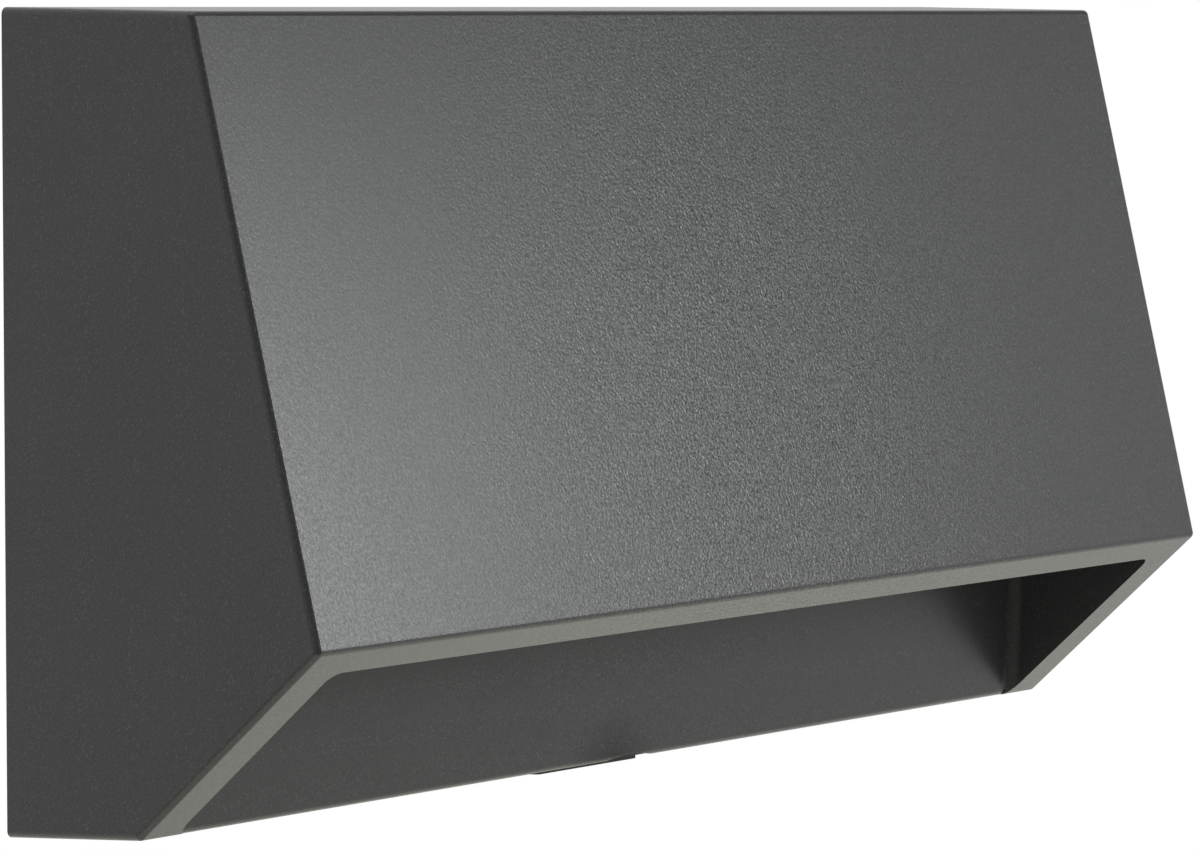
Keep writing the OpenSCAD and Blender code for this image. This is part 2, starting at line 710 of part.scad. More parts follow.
// Three-pole screw terminal: wires go in from above and below, screws face the front
module terminal_block() {
    top = seat + terminal_d;
    waist = -barrel_y - 0.5;
    color(white_plastic) from_mount() translate([terminal_x, 0, mount_h]) difference() {
        union() {
            forward(seat, -barrel_y) rounded(3 * pole_pitch, terminal_h, 1.5);
            for (p = poles) forward(waist, top) translate([p * pole_pitch, 0])
                rounded(pole_pitch - 1.6, terminal_h - 1.5, 2);
            for (x = fixing_xs) forward_pin(x * pole_pitch, 0, fixing_collar, waist, fixing_seat);
        }
        for (p = poles) translate([p * pole_pitch, barrel_y, 0]) {
            cylinder(d = barrel_d + 2 * thread_play, h = barrel_l + 0.2, center = true);
            cylinder(d = entry_d, h = terminal_h + 2 * through, center = true);
        }
        for (p = poles, s = [-1, 1])
            forward_pin(p * pole_pitch, s * screw_row, m4_through, -barrel_y, top + through);
        for (x = fixing_xs) {
            forward_pin(x * pole_pitch, 0, m3_through, seat - through, fixing_seat + through);
            forward_pin(x * pole_pitch, 0, m3_head[0] + 2 * hole_play, fixing_seat, top + through);
        }
    }
}

module terminal_barrels() {
    color(brass) from_mount() for (p = poles) translate([terminal_x + p * pole_pitch, barrel_y, mount_h])
        difference() {
            cylinder(d = barrel_d, h = barrel_l, center = true);
            cylinder(d = barrel_bore, h = terminal_h, center = true);
            for (s = [-1, 1]) forward_pin(0, s * screw_row, m3_hole, 0, barrel_d);
        }
}

module terminal_screws() {
    tip_y = barrel_y - 1.2;
    color(zinc) from_mount() for (p = poles, s = [-1, 1])
        translate([terminal_x + p * pole_pitch, tip_y, mount_h + s * screw_row]) rotate([90, 0, 0])
            difference() {
                union() {
                    cylinder(d = m3, h = 3);
                    translate([0, 0, barrel_d / 2 - 1]) cylinder(d = m4, h = 2.2);
                }
                translate([0, 0, barrel_d / 2 + 1.2]) cube([m4 + 1, 0.8, 1.6], center = true);
            }
}

module terminal_fixing_screws() {
    color(zinc) from_mount() for (x = fixing_xs)
        translate([terminal_x + x * pole_pitch, -fixing_seat, mount_h]) rotate([-90, 0, 0])
            pan_screw(m3, m3_head, fixing_screw_l);
}

module earth_nut() {
    color(zinc) from_mount() translate([stud_x, -plate_t - ring_t - washer_t, stud_z]) rotate([90, 0, 0])
        difference() {
            cylinder(d = nut_w / cos(30), h = nut_h, $fn = 6);
            translate([0, 0, -through]) cylinder(d = m4_hole, h = nut_h + 2 * through);
        }
}

// Star washers: one under the nut on the plate, one under the screw on the housing
module earth_washers() {
    color(zinc) from_mount() {
        translate([stud_x, -plate_t - ring_t, stud_z]) star_washer();
        translate([earth_x, earth_boss_y + ring_t + washer_t, earth_z]) star_washer();
    }
}

module star_washer() {
    rotate([90, 0, 0]) difference() {
        linear_extrude(washer_t) difference() {
            circle(d = m4 * 2);
            for (a = [0:30:330]) rotate(a) translate([m4, 0]) square([0.9, 0.7], center = true);
        }
        translate([0, 0, -through]) cylinder(d = m4_through, h = washer_t + 2 * through);
    }
}

// Ring terminals with their crimp barrels, which point to the leads
module earth_rings() {
    color(brass) from_mount() {
        translate([stud_x, -plate_t, stud_z]) ring_terminal(crimp_d / 2);
        translate([earth_x, earth_boss_y + ring_t, earth_z]) ring_terminal(ring_t - crimp_d / 2);
    }
}

// The axis of its crimp barrel is at height h over the seat
module ring_terminal(h) {
    tongue = ring_reach - crimp_depth;
    rotate([90, 0, 0]) difference() {
        union() {
            cylinder(d = m4 * 2.1, h = ring_t);
            translate([-tongue, -crimp_d / 2, 0]) cube([tongue, crimp_d, ring_t]);
            translate([-ring_reach, 0, h]) rotate([0, 90, 0]) cylinder(d = crimp_d, h = crimp_l);
        }
        translate([0, 0, -through]) cylinder(d = m4_through, h = ring_t + 2 * through);
        translate([-ring_reach - through, 0, h]) rotate([0, 90, 0])
            cylinder(d = lead_d + 2 * thread_play, h = crimp_depth + through);
    }
}

module earth_screw() {
    stack = ring_t + washer_t;
    color(zinc) from_mount() translate([earth_x, earth_boss_y + stack, earth_z]) rotate([90, 0, 0])
        pan_screw(m4, m4_head, earth_hole_l + stack - 0.5);
}

module driver_case() {
    front = -driver_y;
    color(white_plastic) from_mount() translate([driver_x, 0, driver_z]) difference() {
        union() {
            forward(front - driver_case_t, front) rounded(driver_l, driver_h, 2.5);
            forward(front - ear_t, front) rounded(driver_l + 2 * ear_l, ear_h, 3);
            for (s = [-1, 1]) translate([s * driver_l / 2, gland_y, 0])
                rotate([0, s * 90, 0]) cylinder(d1 = gland_root_d, d2 = gland_tip_d, h = gland_l);
        }
        for (s = [-1, 1])
            forward_pin(s * driver_screw_x, 0, m3_through, front - ear_t - through, front + through);
    }
}

module driver_lid() {
    back = -driver_y - driver_t;
    color("#d9dbd8") from_mount() translate([driver_x, 0, driver_z]) difference() {
        forward(back, back + driver_lid_t) rounded(driver_l, driver_h, 2.5);
        forward(back - through, back + 0.4) rounded(driver_l - 8, driver_h - 8, 1.5);
    }
}

module driver_screws() {
    color(zinc) from_mount() for (s = [-1, 1])
        forward_screw(driver_x + s * driver_screw_x, driver_z, -driver_y - ear_t, m3, m3_head, driver_screw_l);
}

module lead_grommet() {
    color(rubber) from_mount() translate([lead_hole_x, ceiling_y, pocket_top]) difference() {
        union() {
            cylinder(d = lead_neck_d, h = roof_t);
            translate([0, 0, roof_t])
                cylinder(d1 = lead_flange_d, d2 = lead_flange_d - 1.5, h = lead_flange_t);
        }
        translate([0, 0, -through]) cylinder(d = lead_hole_d, h = roof_t + lead_flange_t + 2 * through);
    }
}

module board_plan(w, l) {
    difference() {
        rounded(l, w, 2);
        for (x = board_screw_xs) translate([x, 0]) circle(d = m3_through);
        translate([lead_hole_x, 0]) circle(d = lead_hole_d);
    }
}

module thermal_pad() {
    color("#8fa3ad") from_mount() translate([0, ceiling_y, pocket_top - pad_t])
        linear_extrude(pad_t) board_plan(board_w, board_l);
}

module led_board() {
    color("#f2f2ee") from_mount() translate([0, ceiling_y, board_z])
        linear_extrude(board_t) board_plan(board_w, board_l);
}

module leds() {
    color("#f0d35a") from_mount() for (i = [0:led_count - 1])
        translate([(i - (led_count - 1) / 2) * led_pitch, ceiling_y, board_z - led_t / 2])
            cube([led_size, led_size, led_t], center = true);
}

module led_board_screws() {
    color(zinc) from_mount() for (x = board_screw_xs)
        translate([x, ceiling_y, board_z]) pan_screw(m3, m3_head, board_screw_l);
}

// White channel round the board: its web lies on the board, its walls line the pocket
module reflector() {
    low = diffuser_z + diffuser_t + reflector_gap;
    l = pocket_l - 2 * reflector_gap;
    w = pocket_w - 2 * reflector_gap;
    color(white_plastic) from_mount() translate([0, ceiling_y, low]) difference() {
        linear_extrude(board_z - low) rounded(l, w, pocket_r - reflector_gap);
        translate([0, 0, -through]) linear_extrude(board_z - low - reflector_t + through)
            rounded(l - 2 * reflector_t, w - 2 * reflector_t, pocket_r - reflector_gap - reflector_t);
        linear_extrude(body_h) stadium(board_l - 4, reflector_slot);
    }
}

module diffuser_gasket() {
    color("#c9ccca") from_mount() translate([0, ceiling_y, recess_h - seal_t])
        linear_extrude(seal_t) difference() {
            rounded(diffuser_l, diffuser_w, 3);
            rounded(pocket_l, pocket_w, pocket_r);
        }
}

module diffuser() {
    color("#f4f4ef") from_mount() translate([0, ceiling_y, diffuser_z])
        linear_extrude(diffuser_t) rounded(diffuser_l, diffuser_w, 3);
}

module diffuser_frame() {
    cover = 1;
    mouth_l = pocket_l - 2 * cover;
    mouth_w = pocket_w - 2 * cover;
    color(coat) from_mount() translate([0, ceiling_y, frame_z]) difference() {
        linear_extrude(recess_h - frame_z) rounded(frame_l, frame_w, recess_r);
        translate([0, 0, frame_flange]) linear_extrude(recess_h)
            rounded(diffuser_l + 2 * diffuser_play, diffuser_w + 2 * diffuser_play, 3);
        translate([0, 0, -through]) linear_extrude(recess_h) rounded(mouth_l, mouth_w, 2);
        for (s = [-1, 1], t = [-1, 1]) translate([s * frame_screw_x, t * frame_screw_dy, -through]) {
            cylinder(d = m3_through, h = recess_h);
            cylinder(d = m3_head[0] + 2 * head_play, h = m3_head[1] + 0.2 + through);
        }
    }
}

module frame_screws() {
    color(zinc) from_mount() for (s = [-1, 1], t = [-1, 1])
        translate([s * frame_screw_x, ceiling_y + t * frame_screw_dy, frame_z + m3_head[1] + 0.2])
            pan_screw(m3, m3_head, frame_screw_l);
}

// A round lead swept along its route, with a number of rings to each stretch
module lead(route, steps) {
    p = smooth_route(route, steps);
    t = tangents(p);
    m = normals(t, [0.31, 0.9, 0.3]);
    n = lead_sides;
    points = [
        for (i = [0:len(p) - 1], k = [0:n - 1])
            p[i] + lead_d / 2 * (cos(360 * k / n) * m[i] + sin(360 * k / n) * cross(t[i], m[i]))
    ];
    walls = [
        for (i = [0:len(p) - 2], k = [0:n - 1])
            let (a = i * n + k, b = i * n + (k + 1) % n)
            each [[a, b + n, b], [a, a + n, b + n]]
    ];
    start = [[for (k = [0:n - 1]) k]];
    end = [[for (k = [n - 1:-1:0]) (len(p) - 1) * n + k]];
    polyhedron(points, concat(walls, start, end));
}

module live_lead() {
    color("#6b3f23") from_mount() lead(live_route, 3);
}

module neutral_lead() {
    color("#2b57a8") from_mount() lead(neutral_route, 3);
}

module plate_earth_lead() {
    color("#7fa62a") from_mount() lead(plate_earth_route, 2);
}

module housing_earth_lead() {
    color("#7fa62a") from_mount() lead(housing_earth_route, 2);
}

module led_lead_positive() {
    color("#b3261e") from_mount() lead(positive_route, 2);
}

module led_lead_negative() {
    color("#202020") from_mount() lead(negative_route, 2);
}

housing();
wall_plate();
rear_gasket();
locking_screw();
cable_grommet();
terminal_block();
terminal_barrels();
terminal_screws();
terminal_fixing_screws();
earth_nut();
earth_washers();
earth_rings();
earth_screw();
driver_case();
driver_lid();
driver_screws();
lead_grommet();
thermal_pad();
led_board();
leds();
led_board_screws();
reflector();
diffuser_gasket();
diffuser();
diffuser_frame();
frame_screws();
live_lead();
neutral_lead();
plate_earth_lead();
housing_earth_lead();
led_lead_positive();
led_lead_negative();
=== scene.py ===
"""Outdoor wall light: the looks of a wedge-shaped LED light in a dark powder coat."""

import math

import bpy
from mathutils import Matrix, Vector


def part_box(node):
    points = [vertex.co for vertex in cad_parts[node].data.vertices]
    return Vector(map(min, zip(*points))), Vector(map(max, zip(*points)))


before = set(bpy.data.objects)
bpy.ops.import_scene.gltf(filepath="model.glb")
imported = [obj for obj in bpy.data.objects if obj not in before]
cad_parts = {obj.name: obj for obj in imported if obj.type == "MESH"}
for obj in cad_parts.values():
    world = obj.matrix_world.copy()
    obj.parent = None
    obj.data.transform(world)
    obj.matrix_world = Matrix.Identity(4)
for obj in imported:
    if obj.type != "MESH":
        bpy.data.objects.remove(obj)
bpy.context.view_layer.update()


# Wall plate
# The black sheet-steel plate that is screwed to the wall and carries the rest. It is blanked and
# pressed, so the sheet keeps fine rolling marks under a thin satin coat. Lengths are in metres.
plate_black = (0.018, 0.018, 0.019)
plate_sheen = (0.025, 0.0255, 0.0265)
plate_cloud_width = 0.02
rolling_width = 0.0004
rolling_stretch = (0.04, 1.0, 1.0)
coat_speck = 0.0011
plate_roughness = (0.38, 0.52)
plate_relief = 0.000012

# Most values of a cloudy noise lie in the span, and one tone passes into the other in the fade
noise_span = (0.3, 0.7)
tone_fade = (0.35, 0.65)


def start_finish(name):
    """An empty finish with its shader, ready for the nodes that give it detail."""
    finish = bpy.data.materials.new(name)
    finish.use_nodes = True
    tree = finish.node_tree
    tree.nodes.clear()
    shader = tree.nodes.new("ShaderNodeBsdfPrincipled")
    output = tree.nodes.new("ShaderNodeOutputMaterial")
    tree.links.new(shader.outputs["BSDF"], output.inputs["Surface"])
    return finish, tree, shader


def place_on_part(tree, stretch=(1.0, 1.0, 1.0)):
    """Where a point lies on the part, in metres, stretched along an axis for drawn-out marks."""
    place = tree.nodes.new("ShaderNodeTexCoord")
    mapping = tree.nodes.new("ShaderNodeMapping")
    mapping.inputs["Scale"].default_value = stretch
    tree.links.new(place.outputs["Object"], mapping.inputs["Vector"])
    return mapping.outputs["Vector"]


def mottle(tree, width, detail=2.0, stretch=(1.0, 1.0, 1.0)):
    """Cloudy variation whose patches are about one width across."""
    noise = tree.nodes.new("ShaderNodeTexNoise")
    noise.inputs["Scale"].default_value = 1.0 / width
    noise.inputs["Detail"].default_value = detail
    tree.links.new(place_on_part(tree, stretch), noise.inputs["Vector"])
    return noise.outputs["Fac"]


def spread(tree, value, low, high, out_low, out_high):
    """A value's range from low to high, laid out from out_low to out_high and held at both ends."""
    lay = tree.nodes.new("ShaderNodeMapRange")
    lay.inputs["From Min"].default_value = low
    lay.inputs["From Max"].default_value = high
    lay.inputs["To Min"].default_value = out_low
    lay.inputs["To Max"].default_value = out_high
    tree.links.new(value, lay.inputs["Value"])
    return lay.outputs["Result"]


def reckon(tree, operation, first, second):
    """One sum of two values, each a socket or a number."""
    node = tree.nodes.new("ShaderNodeMath")
    node.operation = operation
    for place, value in enumerate((first, second)):
        if isinstance(value, (int, float)):
            node.inputs[place].default_value = value
        else:
            tree.links.new(value, node.inputs[place])
    return node.outputs["Value"]


def blend_colours(tree, amount, first, second):
    """A colour between two others, each a socket or three numbers."""
    mix = tree.nodes.new("ShaderNodeMix")
    mix.data_type = "RGBA"
    tree.links.new(amount, mix.inputs["Factor"])
    for name, colour in (("A", first), ("B", second)):
        socket = [s for s in mix.inputs if s.name == name and s.type == "RGBA"][0]
        if isinstance(colour, tuple):
            socket.default_value = (*colour, 1.0)
        else:
            tree.links.new(colour, socket)
    return [s for s in mix.outputs if s.type == "RGBA"][0]


def drifting_tone(tree, shader, clouds, first, second, fade=tone_fade):
    """Lets the colour drift from a first tone to a second one with the clouds."""
    tone = blend_colours(tree, spread(tree, clouds, *fade, 0.0, 1.0), first, second)
    tree.links.new(tone, shader.inputs["Base Color"])


def uneven_gloss(tree, shader, grain, roughness):
    """Lets the roughness follow a grain from its lower to its upper value."""
    tree.links.new(spread(tree, grain, *noise_span, *roughness), shader.inputs["Roughness"])


def raise_grain(tree, shader, height, depth):
    """Relief on the surface: a height from 0 to 1 that stands depth metres proud."""
    bump = tree.nodes.new("ShaderNodeBump")
    bump.inputs["Distance"].default_value = depth
    tree.links.new(height, bump.inputs["Height"])
    tree.links.new(bump.outputs["Normal"], shader.inputs["Normal"])


def dress(finish, *nodes):
    """Puts a finish on CAD pieces that keep their own shape."""
    for node in nodes:
        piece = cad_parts[node]
        for place in piece.material_slots:
            place.material = finish


def satin_black_steel():
    """Thin satin coat over rolled sheet, with tiny specks in it."""
    finish, tree, shader = start_finish("satin_black_steel")
    clouds = mottle(tree, plate_cloud_width, detail=3.0)
    rolling = mottle(tree, rolling_width, stretch=rolling_stretch)
    specks = mottle(tree, coat_speck, detail=1.0)
    drifting_tone(tree, shader, clouds, plate_black, plate_sheen)
    uneven_gloss(tree, shader, rolling, plate_roughness)
    raise_grain(tree, shader, reckon(tree, "ADD", specks, rolling), plate_relief)
    return finish


dress(satin_black_steel(), "wall_plate")


# Cable grommet and lead grommet
# Moulded black rubber: one is the inlet in the wall plate, the other guides the LED leads through
# the roof of the recess. Both are pressed in by hand and keep the matt skin of the mould.
rubber_dark = (0.012, 0.012, 0.012)
rubber_bloom = (0.03, 0.03, 0.029)
bloom_width = 0.006
bloom_fade = (0.4, 0.7)
rubber_skin_width = 0.0003
rubber_roughness = (0.62, 0.78)
rubber_relief = 0.00002


def moulded_rubber():
    """Matt rubber with a faint grey bloom."""
    finish, tree, shader = start_finish("moulded_rubber")
    bloom = mottle(tree, bloom_width, detail=4.0)
    drifting_tone(tree, shader, bloom, rubber_dark, rubber_bloom, bloom_fade)
    uneven_gloss(tree, shader, bloom, rubber_roughness)
    raise_grain(tree, shader, mottle(tree, rubber_skin_width), rubber_relief)
    return finish


dress(moulded_rubber(), "cable_grommet", "lead_grommet")


# Terminal block
# Natural nylon, moulded round three turned brass barrels, with zinc-plated clamp screws
# and two longer screws that hold it on its pressed pad.
nylon_cream = (0.76, 0.74, 0.66)
nylon_pale = (0.82, 0.81, 0.76)
nylon_flow_width = 0.007
nylon_flow_stretch = (1.0, 1.0, 0.4)
nylon_tooling_width = 0.00035
nylon_roughness = (0.42, 0.55)
nylon_relief = 0.00001
nylon_glow_share = 0.15
nylon_glow_reach = 0.001

brass_yellow = (0.72, 0.5, 0.2)
brass_tarnish = (0.5, 0.31, 0.12)
tarnish_width = 0.004
tarnish_fade = (0.5, 0.75)
brass_turning_width = 0.00025
brass_turning_stretch = (0.2, 0.2, 1.0)
brass_roughness = (0.22, 0.36)
brass_relief = 0.000006

zinc_bright = (0.64, 0.65, 0.67)
zinc_blue = (0.47, 0.5, 0.56)
zinc_roughness = (0.24, 0.38)
stain_width = 0.003
stain_fade = (0.45, 0.75)
steel_turning_width = 0.0002
steel_turning_stretch = (1.0, 0.25, 0.25)
steel_relief = 0.000005


def let_light_in(shader, share, reach):
    """Lets a share of the light spread a short way under the surface."""
    shader.inputs["Subsurface Weight"].default_value = share
    shader.inputs["Subsurface Scale"].default_value = reach


def natural_nylon():
    """Milky nylon with flow marks from the mould."""
    finish, tree, shader = start_finish("natural_nylon")
    flow = mottle(tree, nylon_flow_width, detail=3.0, stretch=nylon_flow_stretch)
    drifting_tone(tree, shader, flow, nylon_cream, nylon_pale)
    uneven_gloss(tree, shader, flow, nylon_roughness)
    let_light_in(shader, nylon_glow_share, nylon_glow_reach)
    raise_grain(tree, shader, mottle(tree, nylon_tooling_width), nylon_relief)
    return finish


def turned_brass():
    """Brass with turning marks and spots of tarnish."""
    finish, tree, shader = start_finish("turned_brass")
    tarnish = mottle(tree, tarnish_width, detail=4.0)
    turning = mottle(tree, brass_turning_width, detail=1.0, stretch=brass_turning_stretch)
    drifting_tone(tree, shader, tarnish, brass_yellow, brass_tarnish, tarnish_fade)
    shader.inputs["Metallic"].default_value = 1.0
    uneven_gloss(tree, shader, turning, brass_roughness)
    raise_grain(tree, shader, turning, brass_relief)
    return finish


def turned_steel(name, bright, shade, roughness):
    """Rolled or turned steel, plated or stainless, with duller stains."""
    finish, tree, shader = start_finish(name)
    stain = mottle(tree, stain_width, detail=4.0)
    turning = mottle(tree, steel_turning_width, detail=1.0, stretch=steel_turning_stretch)
    drifting_tone(tree, shader, stain, bright, shade, stain_fade)
    shader.inputs["Metallic"].default_value = 1.0
    uneven_gloss(tree, shader, turning, roughness)
    raise_grain(tree, shader, turning, steel_relief)
    return finish


zinc_plating = turned_steel("zinc_plating", zinc_bright, zinc_blue, zinc_roughness)
brass_finish = turned_brass()
dress(natural_nylon(), "terminal_block")
dress(brass_finish, "terminal_barrels")
dress(zinc_plating, "terminal_screws", "terminal_fixing_screws")


# Earth points
# Ring terminals crimped on the two earth leads: one under a nut on the plate's stud,
# one under a screw in the casting, each on a toothed washer that bites through the coat.
dress(brass_finish, "earth_rings")
dress(zinc_plating, "earth_nut", "earth_washers", "earth_screw")


# Driver
# The LED driver in its white case, with a pale grey lid that is welded on from behind.
# Its ears are screwed to two bosses on the inside of the housing's front wall.
case_white = (0.74, 0.74, 0.71)
case_shade = (0.66, 0.66, 0.64)
lid_grey = (0.6, 0.61, 0.6)
lid_shade = (0.5, 0.51, 0.51)
case_flow_width = 0.018
spark_grit_width = 0.00045
spark_roughness = (0.48, 0.62)
spark_relief = 0.000025


def sparked_plastic(name, light, shade):
    """Plastic from a spark-eroded mould: an even fine grit over faint flow marks."""
    finish, tree, shader = start_finish(name)
    grit = mottle(tree, spark_grit_width)
    drifting_tone(tree, shader, mottle(tree, case_flow_width, detail=3.0), light, shade)
    uneven_gloss(tree, shader, grit, spark_roughness)
    raise_grain(tree, shader, grit, spark_relief)
    return finish


dress(sparked_plastic("driver_case_plastic", case_white, case_shade), "driver_case")
dress(sparked_plastic("driver_lid_plastic", lid_grey, lid_shade), "driver_lid")
dress(zinc_plating, "driver_screws")


# Housing
# One aluminium die casting, powder-coated in anthracite. The coat flows to a fine leathery peel
# with duller pits and a few pale flecks. It lies thickest, and its peel is boldest, in the middle
# of the front. Above the tab its sheen is turned down, which paints a soft shade there.
anthracite = (0.031, 0.0322, 0.0325)
anthracite_light = (0.034, 0.0352, 0.0354)
coat_cloud_width = 0.03
coat_roughness = (0.28, 0.36)
coat_sheen = 0.425
peel_width = 0.00056
peel_height = 0.00008
pit_width = 0.00042
pit_dulling = 0.3
fleck_pale = (0.19, 0.2, 0.2)
fleck_width = 0.00032
fleck_edge = (0.64, 0.74)
fleck_strength = 0.2
bold_middle = (0.003, -0.057, -0.018)
bold_reach = (0.094, 0.045, 0.12)
bold_fade = (0.25, 1.0)
calm_peel = 0.18
# Painted shade: a soft patch above the tab where the coat reflects less light
painted_shade_place = (-0.0055, -0.0285, -0.0935)
painted_shade_reach = (0.0135, 0.02, 0.0095)
painted_shade_fade = (0.2, 1.0)
painted_shade_sheen = 0.45


def length_of(tree, vector):
    """The length of a vector."""
    measure = tree.nodes.new("ShaderNodeVectorMath")
    measure.operation = "LENGTH"
    tree.links.new(vector, measure.inputs[0])
    return measure.outputs["Value"]


def distance_from(tree, place, reach):
    """How far a point lies from a place, where 1 is the reach along each axis."""
    away = tree.nodes.new("ShaderNodeMapping")
    away.inputs["Location"].default_value = [-p / r for p, r in zip(place, reach)]
    away.inputs["Scale"].default_value = [1 / r for r in reach]
    tree.links.new(place_on_part(tree), away.inputs["Vector"])
    return length_of(tree, away.outputs["Vector"])


def powder_coat():
    """Anthracite coat, whose peel and pits calm down away from the bold middle."""
    finish, tree, shader = start_finish("anthracite_powder_coat")
    clouds = spread(tree, mottle(tree, coat_cloud_width, detail=3.0), *tone_fade, 0.0, 1.0)
    flecks = spread(tree, mottle(tree, fleck_width, detail=0.0), *fleck_edge, 0.0, fleck_strength)
    tone = blend_colours(tree, clouds, anthracite, anthracite_light)
    tree.links.new(blend_colours(tree, flecks, tone, fleck_pale), shader.inputs["Base Color"])

    peel = mottle(tree, peel_width)
    bold_distance = distance_from(tree, bold_middle, bold_reach)
    bold = spread(tree, bold_distance, *bold_fade, 1.0, calm_peel)
    uneven_gloss(tree, shader, peel, coat_roughness)
    raise_grain(tree, shader, reckon(tree, "MULTIPLY", peel, bold), peel_height)

    pits = spread(tree, mottle(tree, pit_width, detail=1.0), *noise_span, -pit_dulling, pit_dulling)
    sheen = reckon(tree, "ADD", reckon(tree, "MULTIPLY", pits, bold), coat_sheen)
    # Painted shade: the sheen falls off towards the middle of the patch above the tab
    painted_shade_distance = distance_from(tree, painted_shade_place, painted_shade_reach)
    painted_shade = spread(tree, painted_shade_distance, *painted_shade_fade, painted_shade_sheen, 1.0)
    tree.links.new(reckon(tree, "MULTIPLY", painted_shade, sheen), shader.inputs["Specular IOR Level"])
    return finish


coat = powder_coat()
dress(coat, "housing")


# LED module
# A narrow aluminium board in white resist, screwed up against the roof on a soft silicone pad,
# with a row of phosphor LEDs and a bright white channel that throws their light down.
pad_blue = (0.22, 0.3, 0.35)
pad_grey = (0.3, 0.37, 0.41)
sheet_cloud_width = 0.01
sheet_weave_width = 0.0005
sheet_roughness = (0.55, 0.7)
sheet_relief = 0.00001

resist_white = (0.82, 0.82, 0.79)
resist_cloud_width = 0.012
resist_fade = (0.3, 0.7)
resist_grain_width = 0.0006
resist_roughness = 0.36
board_relief = 0.000008
solder_grey = (0.6, 0.6, 0.58)
solder_roughness = 0.22
solder_half_length = 0.0032
solder_half_width = 0.0011

led_pitch = 0.015
package_white = (0.84, 0.84, 0.8)
phosphor_yellow = (0.82, 0.62, 0.12)
phosphor_radius = 0.00115
phosphor_grain_width = 0.0002
phosphor_roughness = (0.3, 0.45)

reflector_white = (0.86, 0.86, 0.84)
reflector_shade = (0.78, 0.78, 0.76)
reflector_roughness = (0.2, 0.3)
bright_flow_width = 0.02
bright_flow_stretch = (0.3, 1.0, 1.0)
bright_skin_width = 0.0008
bright_relief = 0.000006
bright_glow_share = 0.1
bright_glow_reach = 0.002


def soft_sheet(name, light, shade):
    """Soft silicone: slightly cloudy, with a faint weave of its carrier on the surface."""
    finish, tree, shader = start_finish(name)
    weave = mottle(tree, sheet_weave_width, detail=1.0)
    drifting_tone(tree, shader, mottle(tree, sheet_cloud_width, detail=3.0), light, shade)
    uneven_gloss(tree, shader, weave, sheet_roughness)
    raise_grain(tree, shader, weave, sheet_relief)
    return finish


def along_row(tree):
    """Distance of a point from the middle of the nearest LED, in x and y, as two sockets."""
    middle_y = sum(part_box("leds")[i].y for i in (0, 1)) / 2
    parts = tree.nodes.new("ShaderNodeSeparateXYZ")
    tree.links.new(place_on_part(tree), parts.inputs["Vector"])
    steps = reckon(tree, "DIVIDE", parts.outputs["X"], led_pitch)
    whole = reckon(tree, "FLOOR", steps, 0.0)
    beyond = reckon(tree, "SUBTRACT", reckon(tree, "SUBTRACT", steps, whole), 0.5)
    off_x = reckon(tree, "ABSOLUTE", reckon(tree, "MULTIPLY", beyond, led_pitch), 0.0)
    off_y = reckon(tree, "ABSOLUTE", reckon(tree, "SUBTRACT", parts.outputs["Y"], middle_y), 0.0)
    return off_x, off_y


def board_resist():
    """White resist with a tinned pad at each side of every LED."""
    finish, tree, shader = start_finish("board_resist")
    off_x, off_y = along_row(tree)
    near = reckon(tree, "LESS_THAN", off_x, solder_half_length)
    narrow = reckon(tree, "LESS_THAN", off_y, solder_half_width)
    pads = reckon(tree, "MULTIPLY", near, narrow)
    clouds = spread(tree, mottle(tree, resist_cloud_width, detail=3.0), *resist_fade, 0.0, 1.0)
    resist = blend_colours(tree, clouds, resist_white, package_white)
    tree.links.new(blend_colours(tree, pads, resist, solder_grey), shader.inputs["Base Color"])
    gloss = spread(tree, pads, 0.0, 1.0, resist_roughness, solder_roughness)
    tree.links.new(gloss, shader.inputs["Roughness"])
    tree.links.new(pads, shader.inputs["Metallic"])
    raise_grain(tree, shader, mottle(tree, resist_grain_width), board_relief)
    return finish


def led_package():
    """A round window of yellow phosphor in a white package."""
    finish, tree, shader = start_finish("led_package")
    off_x, off_y = along_row(tree)
    squares = reckon(tree, "ADD", reckon(tree, "POWER", off_x, 2.0), reckon(tree, "POWER", off_y, 2.0))
    window = reckon(tree, "LESS_THAN", squares, phosphor_radius**2)
    tone = blend_colours(tree, window, package_white, phosphor_yellow)
    tree.links.new(tone, shader.inputs["Base Color"])
    grains = mottle(tree, phosphor_grain_width)
    uneven_gloss(tree, shader, grains, phosphor_roughness)
    raise_grain(tree, shader, grains, board_relief)
    return finish


def bright_plastic(name, light, shade, roughness):
    """Smooth bright plastic with faint flow marks."""
    finish, tree, shader = start_finish(name)
    flow = mottle(tree, bright_flow_width, detail=3.0, stretch=bright_flow_stretch)
    skin = mottle(tree, bright_skin_width)
    drifting_tone(tree, shader, flow, light, shade)
    uneven_gloss(tree, shader, skin, roughness)
    let_light_in(shader, bright_glow_share, bright_glow_reach)
    raise_grain(tree, shader, skin, bright_relief)
    return finish


reflector_finish = bright_plastic("reflector_plastic", reflector_white, reflector_shade, reflector_roughness)
dress(soft_sheet("silicone_pad", pad_blue, pad_grey), "thermal_pad")
dress(board_resist(), "led_board")
dress(led_package(), "leds")
dress(zinc_plating, "led_board_screws")
dress(reflector_finish, "reflector")


# Diffuser and its frame
# An opal polycarbonate plate on a silicone seal closes the LED pocket. A coated frame with
# four stainless screws clamps it from below, and lies in the shade of the recess.
opal_white = (0.84, 0.84, 0.8)
opal_warm = (0.8, 0.79, 0.74)
opal_roughness = (0.32, 0.44)
seal_grey = (0.5, 0.52, 0.51)
seal_shade = (0.42, 0.44, 0.43)
stainless_bright = (0.62, 0.61, 0.59)
stainless_shade = (0.45, 0.44, 0.43)
stainless_roughness = (0.28, 0.42)

